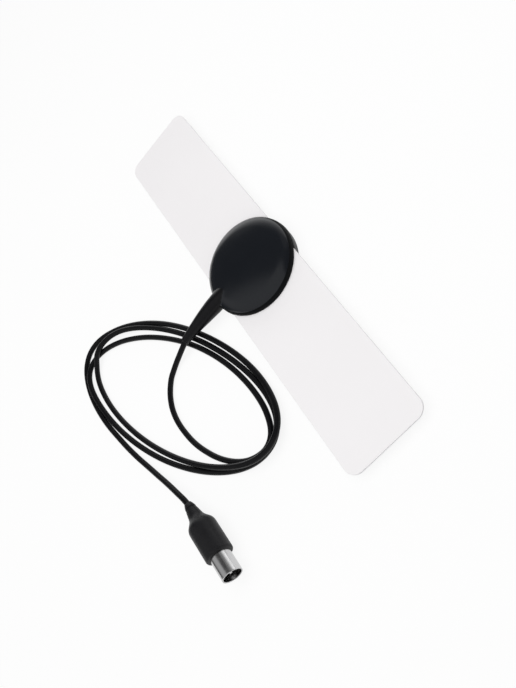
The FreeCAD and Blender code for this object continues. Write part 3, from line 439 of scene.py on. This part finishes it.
# Studio: a pale floor in a room with a white horizon, one pale wall, a bright window opposite and a dim ceiling.
# A dark flag stands low at one side, and a small fill card hangs over the window. A wide overhead lamp evens out the
# set; polished pieces mirror the room and not that lamp. The paper floor shows as white and keeps a soft shadow.
FLOOR_HALF, FLOOR_DROP, FLOOR_GLOW = 6.0, 0.1 * MM, 0.88
HORIZON, WALL, WINDOW, CARD, CEILING = 0.94, 0.5, 1.5, 0.25, 0.08
LAMP_SIDES, LAMP_HEIGHT, LAMP_POWER = (0.60, 0.75), 0.55, 2.85
floor_mesh = bpy.data.meshes.new("studio_floor")
floor_mesh.from_pydata(np.array([(-1, -1, 0), (1, -1, 0), (1, 1, 0), (-1, 1, 0)]) * FLOOR_HALF
                       - np.array([0, 0, FLOOR_DROP]), [], [(0, 1, 2, 3)])
studio_floor = bpy.data.objects.new("studio_floor", floor_mesh)
bpy.context.scene.collection.objects.link(studio_floor)
pale_floor = bpy.data.materials.new("pale_paper_floor")
pale_floor.use_nodes = True
floor_tree = pale_floor.node_tree
paper = floor_tree.nodes["Principled BSDF"]
paper.inputs["Base Color"].default_value = linear("#F2F2F2")
paper.inputs["Roughness"].default_value = 0.9
paper.inputs["Specular IOR Level"].default_value = 0.0
seen = add(floor_tree, "ShaderNodeLightPath")
by_eye = add(floor_tree, "ShaderNodeMath", {0: seen.outputs["Is Camera Ray"], 1: seen.outputs["Is Glossy Ray"]},
             operation="MAXIMUM")
by_any = add(floor_tree, "ShaderNodeMath", {0: by_eye.outputs[0], 1: seen.outputs["Is Transmission Ray"]},
             operation="MAXIMUM")
share = add(floor_tree, "ShaderNodeMath", {0: by_any.outputs[0], 1: FLOOR_GLOW}, operation="MULTIPLY")
white = add(floor_tree, "ShaderNodeEmission", {"Color": (1, 1, 1, 1), "Strength": 1.0})
floor_mix = add(floor_tree, "ShaderNodeMixShader", {0: share.outputs[0], 1: paper.outputs[0], 2: white.outputs[0]})
floor_tree.links.new(floor_mix.outputs[0], floor_tree.nodes["Material Output"].inputs["Surface"])
floor_mesh.materials.append(pale_floor)

world = bpy.data.worlds.new("studio_surround")
bpy.context.scene.world = world
world.use_nodes = True
sky_tree = world.node_tree
direction = add(sky_tree, "ShaderNodeTexCoord").outputs["Generated"]


def facing(way, outer, inner, low, high):
    """Brightness that eases from low to high as the cosine to a way goes from an outer to an inner value."""
    cosine = add(sky_tree, "ShaderNodeVectorMath", {0: direction, 1: way}, operation="DOT_PRODUCT").outputs["Value"]
    return add(sky_tree, "ShaderNodeMapRange", {"Value": cosine, "From Min": outer, "From Max": inner, "To Min": low,
                                                "To Max": high}, interpolation_type="SMOOTHSTEP").outputs["Result"]


def mixed(first, second, how):
    """Two brightnesses joined by a math operation."""
    return add(sky_tree, "ShaderNodeMath", {0: first, 1: second}, operation=how).outputs[0]


UP, FLAG_WAY, WINDOW_WAY = (0, 0, 1), (-0.707, -0.707, 0), (-0.88, 0.47, 0)
WALL_WAY, WALL_END_WAY, CARD_WAY = (0.885, -0.466, 0), (0.3, -0.95, 0), (-0.36, 0.69, 0.63)
unflagged = facing(FLAG_WAY, 0.74, 0.86, 1.0, 0.0)
horizon = mixed(mixed(facing(UP, 0.26, 0.36, HORIZON, 0.0), unflagged, "MULTIPLY"),
                facing(UP, 0.02, 0.06, HORIZON, 0.0), "MAXIMUM")
pale_wall = mixed(mixed(facing(WALL_WAY, -0.34, -0.19, 0.0, WALL),
                        facing(WALL_END_WAY, -0.40, -0.22, 0.0, 1.0), "MULTIPLY"),
                  facing(UP, 0.20, 0.60, 0.15, 1.0), "MULTIPLY")
window = mixed(facing(WINDOW_WAY, 0.62, 0.76, 0.0, WINDOW), facing(UP, 0.06, 0.80, 1.0, 0.0), "MULTIPLY")
fill_card = facing(CARD_WAY, 0.93, 0.98, 0.0, CARD)
dim_ceiling = mixed(fill_card, CEILING, "MAXIMUM")
room = mixed(mixed(horizon, pale_wall, "MAXIMUM"), mixed(window, dim_ceiling, "MAXIMUM"), "MAXIMUM")
sky_tree.links.new(room, sky_tree.nodes["Background"].inputs["Strength"])
sky_tree.nodes["Background"].inputs["Color"].default_value = (1, 1, 1, 1)

overhead = bpy.data.lights.new("overhead_diffuser", "AREA")
overhead.shape, overhead.energy = "RECTANGLE", LAMP_POWER
overhead.size, overhead.size_y = LAMP_SIDES
overhead_object = bpy.data.objects.new("overhead_diffuser", overhead)
overhead_object.location = (0.0, 0.0, LAMP_HEIGHT)
overhead_object.visible_camera = False
overhead_object.visible_glossy = False
bpy.context.scene.collection.objects.link(overhead_object)

# Camera: where the photograph was taken from, worked out from the panel's corners.
CAMERA_PLACE = (0.2098, 0.0723, 0.2518)
CAMERA_AXES = ((0.4807, -0.6745, 0.5604), (0.6514, 0.7025, 0.2868), (-0.5871, 0.2271, 0.7770))
lens = bpy.data.cameras.new("photo_camera")
lens.lens, lens.sensor_width, lens.clip_start = 38.68, 36.0, 0.01
camera = bpy.data.objects.new("photo_camera", lens)
camera.matrix_world = Matrix(CAMERA_AXES).to_4x4()
camera.location = CAMERA_PLACE
bpy.context.scene.collection.objects.link(camera)
bpy.context.scene.camera = camera
bpy.context.scene.view_settings.view_transform = "Standard"
